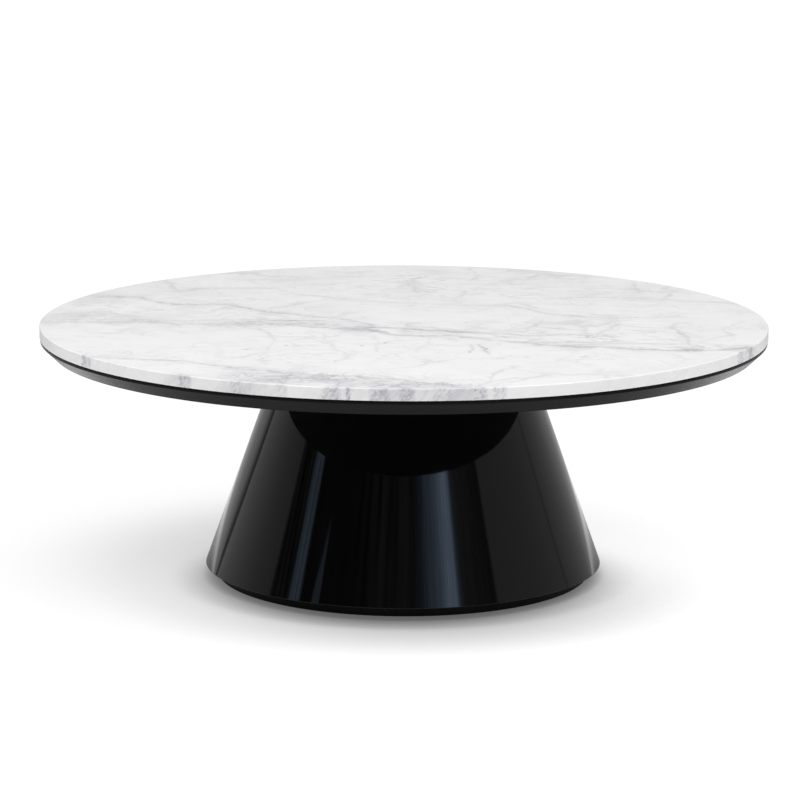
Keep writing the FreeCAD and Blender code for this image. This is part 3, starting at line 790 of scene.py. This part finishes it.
def pedestal():
    outline = eased((
        (shell_foot_radius - shell_wall, shell_bottom, 0),
        (shell_foot_radius, shell_bottom, shell_rim_arris),
        (shell_head_radius, shell_top, 0),
        (shell_head_radius - shell_wall, shell_top, 0),
    ))
    finished(
        "lacquered_cone", swept(outline), MATERIALS["black_gloss_lacquer"], "base",
        shell_panels,
    )


def dress_frame():
    """Gives every CAD node the finish of its slot."""
    for subpart in frame["record"]["subparts"]:
        mesh = frame["nodes"][subpart["node"]].data
        mesh.materials.clear()
        mesh.materials.append(MATERIALS[subpart["material_slot"]])


# Studio
FLOOR_SIZE = 120.0
# The floor's tone as matt and as polished surfaces feel it: two distances from the axis, and the tone at
# each. For polished surfaces the darker tone near the axis is painted shade beneath the table top, and it is
# darker again far away.
FLOOR_MATT = (0.7, 2.2, 0.84, 0.50)
FLOOR_GLOSS_NEAR_SHADE = (0.5, 0.9, 0.70, 1.15)
FLOOR_GLOSS_FAR = (0.95, 1.5, 1.0, 0.48)
# The layers of the floor's soft shade: the way that each looks for the table, how far it reaches, its power,
# and how much that grows to the right.
SHADES = (
    ((-1.0, 4.0, 1.0), 0.08, 1.35, -0.75),
    ((1.0, 3.0, 1.0), 0.24, 1.25, 0.92),
    ((2.0, -3.0, 1.0), 0.70, 0.50, -0.10),
)
# Two distances from the axis, and how much of the shade has faded at each.
SHADE_FADE = (0.45, 0.75, 0.0, 0.7)
# What is left in the deepest shade, how many rays find the shade, and the level of plain white.
SHADE_LEAST = 0.05
SHADE_SAMPLES = 16
WHITE_LEVEL = 1.04

# The surroundings that the lacquer mirrors, on the left and on the right: azimuth in degrees, 0 towards the
# camera and growing to the right, then brightness and whether it is cool window light.
LEFT_SURROUNDINGS = (
    (-180.0, 0.60, 0), (-160.0, 0.50, 0), (-142.0, 0.47, 0), (-139.0, 0.30, 0), (-136.9, 0.11, 0),
    (-136.1, 0.11, 0), (-135.3, 0.50, 0), (-132.0, 0.46, 0), (-122.0, 0.42, 0), (-84.5, 0.26, 0),
    (-82.5, 0.05, 0), (-71.4, 0.05, 0), (-69.4, 0.42, 1), (-66.8, 0.50, 1), (-66.1, 0.25, 1),
    (-65.4, 0.48, 1), (-63.8, 0.42, 1), (-62.4, 0.03, 0), (-30.0, 0.03, 0), (-8.0, 0.07, 0),
    (0.0, 0.07, 0),
)
RIGHT_SURROUNDINGS = (
    (0.0, 0.07, 0), (7.5, 0.06, 0), (10.5, 0.12, 1), (13.0, 0.19, 1), (16.0, 0.38, 1),
    (19.0, 0.45, 1), (24.0, 0.78, 1), (27.0, 1.20, 1), (29.8, 1.45, 1), (32.3, 1.25, 1),
    (34.8, 0.24, 1), (38.0, 0.12, 0), (56.4, 0.06, 0), (58.2, 0.27, 0), (112.2, 0.32, 0),
    (113.3, 0.24, 0), (114.1, 0.24, 0), (115.2, 0.33, 0), (135.0, 0.42, 0), (158.0, 0.58, 0),
    (180.0, 0.60, 0),
)
COOL_LIGHT = (0.74, 0.97, 1.32)
# Light from above: its level, and the heights of a view over which it comes in, 1 being straight up.
OVERHEAD_LEVEL = 1.3
OVERHEAD_SPAN = (0.62, 0.85)
# Fill light from both sides that only matt surfaces feel: its level, and the azimuths over which it grows.
SIDE_FILL = 0.08
SIDE_FILL_SPAN = (50.0, 80.0)
# How far the upright lines at the left and right lean, in degrees of azimuth for each degree of height, and
# the azimuths between which they straighten.
LEFT_LEAN = 1.13
LEFT_LEAN_SPAN = (-120.0, -95.0)
RIGHT_LEAN = -0.48
RIGHT_LEAN_SPAN = (80.0, 100.0)
# A wedge of window light low on the left: its tip's azimuth and height, how fast it widens and drifts below
# that, its greatest half width, how soft its sides are, and its brightness.
WEDGE_TIP = (-49.7, 22.9)
WEDGE_WIDENING = 1.1
WEDGE_DRIFT = 1.5
WEDGE_HALF_WIDTH = 2.2
WEDGE_SOFTNESS = 0.5
WEDGE_LEVEL = 0.24
# The surroundings are streaky: from and to which azimuth, how fine and how strong.
STREAKS = (
    (-81.0, 55.0, (80.0, 80.0, 7.0), 1.3),
    (-34.0, 9.0, (18.0, 18.0, 1.5), 3.2),
    (-82.0, -70.5, (36.0, 36.0, 24.0), 5.0),
)
# Some upright lines on the left waver: from and to which azimuth, how fast along their height, and by how
# many degrees.
SWAY_SPAN = (-80.0, -61.0)
SWAY_SCALE = (0.0, 0.0, 16.0)
SWAY = 3.0


def floor_shade(graph, place, away):
    """The brightness of the floor in the picture."""
    rightward = graph.math("DIVIDE", graph.split(place)[0], away)
    level = 1.0
    for lean, reach, power, growth in SHADES:
        way = graph.joined(*Vector(lean).normalized())
        shade = graph.node(
            "ShaderNodeAmbientOcclusion", {"Distance": reach, "Normal": way}, samples=SHADE_SAMPLES
        ).outputs["AO"]
        level = graph.times(graph.math("POWER", shade, graph.times_add(rightward, growth, power)), level)
    faded = graph.ramp(away, *SHADE_FADE)
    level = graph.times_add(graph.minus(1.0, level), faded, level)
    level = graph.times_add(level, 1 - SHADE_LEAST, SHADE_LEAST)
    return graph.times(level, WHITE_LEVEL)


def floor():
    """A white floor that is shaded in the picture, lights the table from below and is clear from below."""
    mesh = bpy.data.meshes.new("floor")
    half = FLOOR_SIZE / 2
    corners = [(-half, -half, 0), (half, -half, 0), (half, half, 0), (-half, half, 0)]
    mesh.from_pydata(corners, [], [(0, 1, 2, 3)])
    material, graph, place = new_material("white_floor")
    rays = graph.node("ShaderNodeLightPath").outputs
    away = graph.node("ShaderNodeVectorMath", {0: place}, operation="LENGTH").outputs["Value"]
    seen = graph.node("ShaderNodeEmission", {"Strength": floor_shade(graph, place, away)}).outputs[0]
    matt = graph.ramp(away, *FLOOR_MATT)
    # The floor's tone in reflections, with painted shade beneath the table top near the axis.
    polished = graph.times(graph.ramp(away, *FLOOR_GLOSS_NEAR_SHADE), graph.ramp(away, *FLOOR_GLOSS_FAR))
    tone = graph.times_add(rays["Is Glossy Ray"], graph.minus(polished, matt), matt)
    lit = graph.node("ShaderNodeBsdfDiffuse", {"Color": graph.joined(tone, tone, tone)}).outputs[0]
    upper = graph.node("ShaderNodeMixShader", {0: rays["Is Camera Ray"], 1: lit, 2: seen}).outputs[0]
    below = graph.node("ShaderNodeNewGeometry").outputs["Backfacing"]
    through = graph.node("ShaderNodeBsdfTransparent").outputs[0]
    both = graph.node("ShaderNodeMixShader", {0: below, 1: upper, 2: through}).outputs[0]
    graph.node("ShaderNodeOutputMaterial", {"Surface": both})
    mesh.materials.append(material)
    plane = bpy.data.objects.new("floor", mesh)
    bpy.context.scene.collection.objects.link(plane)


def azimuth_band(graph, azimuth, stops):
    """The colour of one half of the surroundings at an azimuth in degrees."""
    first, last = stops[0][0], stops[-1][0]
    step = graph.math("DIVIDE", graph.minus(azimuth, first), last - first)
    band = graph.node("ShaderNodeValToRGB", {0: step})
    marks = band.color_ramp.elements
    while len(marks) < len(stops):
        marks.new(1.0)
    for mark, (angle, level, cool) in zip(marks, stops):
        mark.position = (angle - first) / (last - first)
        tint = COOL_LIGHT if cool else (1, 1, 1)
        mark.color = [level * part for part in tint] + [1]
    return band.outputs[0]


def window_wedge(graph, azimuth, height):
    """The brightness of the wedge of window light."""
    tip_azimuth, tip_height = WEDGE_TIP
    below = graph.minus(tip_height, height)
    centre = graph.times_add(below, -WEDGE_DRIFT, tip_azimuth)
    half_width = graph.math("MINIMUM", graph.times(below, WEDGE_WIDENING), WEDGE_HALF_WIDTH)
    inside = graph.minus(half_width, graph.apart(azimuth, centre))
    level = graph.ramp(inside, 0.0, WEDGE_SOFTNESS, 0.0, WEDGE_LEVEL)
    return graph.times(level, graph.math("GREATER_THAN", below, 0.0))


def mirrored_colour(graph, way, azimuth, height):
    """The colour of the surroundings that the lacquer mirrors."""
    left_lean = graph.ramp(azimuth, *LEFT_LEAN_SPAN, LEFT_LEAN, 0.0)
    right_lean = graph.ramp(azimuth, *RIGHT_LEAN_SPAN, 0.0, RIGHT_LEAN)
    leaned = graph.minus(azimuth, graph.times(graph.add(left_lean, right_lean), height))
    sway = graph.minus(graph.stretched_noise(way, SWAY_SCALE), 0.5)
    leaned = graph.times_add(sway, graph.times(graph.within(azimuth, *SWAY_SPAN), SWAY), leaned)
    left = azimuth_band(graph, leaned, LEFT_SURROUNDINGS)
    right = azimuth_band(graph, leaned, RIGHT_SURROUNDINGS)
    band = graph.mix(graph.math("GREATER_THAN", azimuth, 0.0), left, right)
    for first, last, scales, strength in STREAKS:
        streaks = graph.minus(graph.stretched_noise(way, scales), 0.5)
        change = graph.times_add(streaks, graph.times(graph.within(azimuth, first, last), strength), 1.0)
        band = graph.scaled(band, graph.math("MAXIMUM", change, 0.0))
    wedge = graph.scaled(graph.joined(*COOL_LIGHT), window_wedge(graph, azimuth, height))
    return graph.vector("ADD", band, wedge)


def surroundings():
    """A studio that is white in the picture, a room in the lacquer, and grey to matt surfaces."""
    world = bpy.data.worlds.new("studio")
    bpy.context.scene.world = world
    world.use_nodes = True
    graph = Graph(world.node_tree)
    way = graph.node("ShaderNodeTexCoord").outputs["Generated"]
    x, y, z = graph.split(way)
    azimuth = graph.math("DEGREES", graph.math("ARCTAN2", x, graph.times(y, -1.0)))
    height = graph.math("DEGREES", graph.math("ARCSINE", z))
    room = mirrored_colour(graph, way, azimuth, height)
    fill = graph.ramp(graph.math("ABSOLUTE", azimuth), *SIDE_FILL_SPAN, 0.0, SIDE_FILL)
    plain = graph.add(graph.node("ShaderNodeRGBToBW", {0: room}).outputs[0], fill)
    rays = graph.node("ShaderNodeLightPath").outputs
    room = graph.mix(rays["Is Glossy Ray"], plain, room)
    overhead = graph.ramp(z, *OVERHEAD_SPAN)
    light = graph.mix(overhead, room, (OVERHEAD_LEVEL, OVERHEAD_LEVEL, OVERHEAD_LEVEL, 1))
    seen = graph.mix(rays["Is Camera Ray"], light, (WHITE_LEVEL, WHITE_LEVEL, WHITE_LEVEL, 1))
    glow = graph.node("ShaderNodeBackground", {"Color": seen}).outputs[0]
    graph.node("ShaderNodeOutputWorld", {"Surface": glow})


# Two soft lights that only matt surfaces feel
KEY_PLACES = ((-2.6, -2.4, 3.0), (2.6, -2.4, 3.0))
KEY_TARGET = (0.0, 0.0, 0.4)
KEY_SIZE = 2.2
KEY_POWER = 69.0


def key_lights():
    for place in KEY_PLACES:
        lamp = bpy.data.lights.new("key_light", "AREA")
        lamp.shape = "DISK"
        lamp.size = KEY_SIZE
        lamp.energy = KEY_POWER
        key = bpy.data.objects.new("key_light", lamp)
        key.location = place
        key.rotation_euler = (Vector(KEY_TARGET) - Vector(place)).to_track_quat("-Z", "Y").to_euler()
        key.visible_glossy = False
        key.visible_camera = False
        bpy.context.scene.collection.objects.link(key)


# The camera that fits the photo's outlines: lens and sensor in millimetres, angles in radians
CAMERA_PLACE = (0.0, -5.67775, 1.40378)
CAMERA_LENS = 154.2
CAMERA_SENSOR = 36.0
CAMERA_DIP = 0.1927
CAMERA_YAW = 0.00108
CAMERA_ROLL = 0.0038


def camera():
    eye = bpy.data.cameras.new("camera")
    eye.lens = CAMERA_LENS
    eye.sensor_width = CAMERA_SENSOR
    eye.clip_end = FLOOR_SIZE * 2
    holder = bpy.data.objects.new("camera", eye)
    holder.matrix_world = (
        Matrix.Translation(CAMERA_PLACE)
        @ Matrix.Rotation(CAMERA_YAW, 4, "Z")
        @ Matrix.Rotation(math.pi / 2 - CAMERA_DIP, 4, "X")
        @ Matrix.Rotation(CAMERA_ROLL, 4, "Z")
    )
    bpy.context.scene.collection.objects.link(holder)
    bpy.context.scene.camera = holder


dress_frame()
stone_top()
sub_top_edge()
pedestal()
floor()
surroundings()
key_lights()
camera()
bpy.context.scene.view_settings.view_transform = "Standard"
